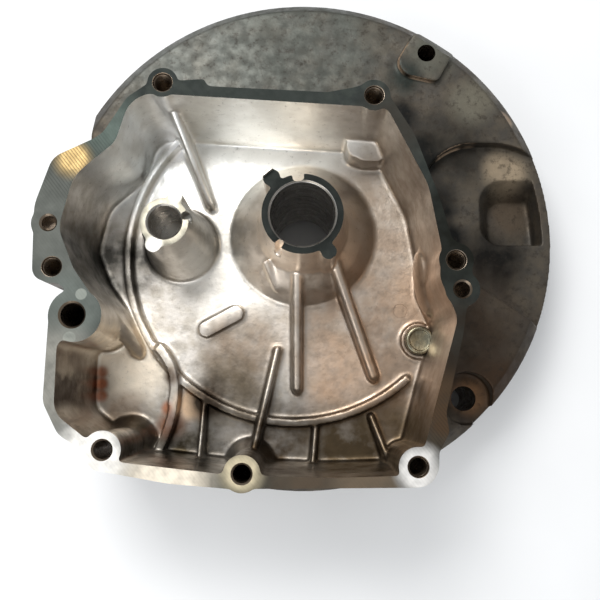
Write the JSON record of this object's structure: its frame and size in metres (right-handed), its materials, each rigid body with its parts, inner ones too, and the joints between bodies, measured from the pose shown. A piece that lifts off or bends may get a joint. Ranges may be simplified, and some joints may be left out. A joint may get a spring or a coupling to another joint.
{
  "type": "die cast clutch housing",
  "caption": "Aluminium clutch and gearbox housing: a bell with a deep ribbed gear tray on its back, a flared main bore boss, a countershaft boss and a pressed-in plug.",
  "frame": {"origin": "where the main shaft axis crosses the mouth of the bell, which lies on z = 0", "axes": "+Z along the main shaft axis, from the engine towards the gearbox; +Y towards the top edge of the tray; +X towards the starter side"},
  "size_m": [0.3328, 0.346, 0.13],
  "materials": {
    "cast_aluminium": "as cast, with machined faces",
    "plug_steel": "satin, stained"
  },
  "bodies": {
    "root": {"housing": "cast_aluminium", "blanking_plug": "plug_steel"}
  },
  "joints": []
}
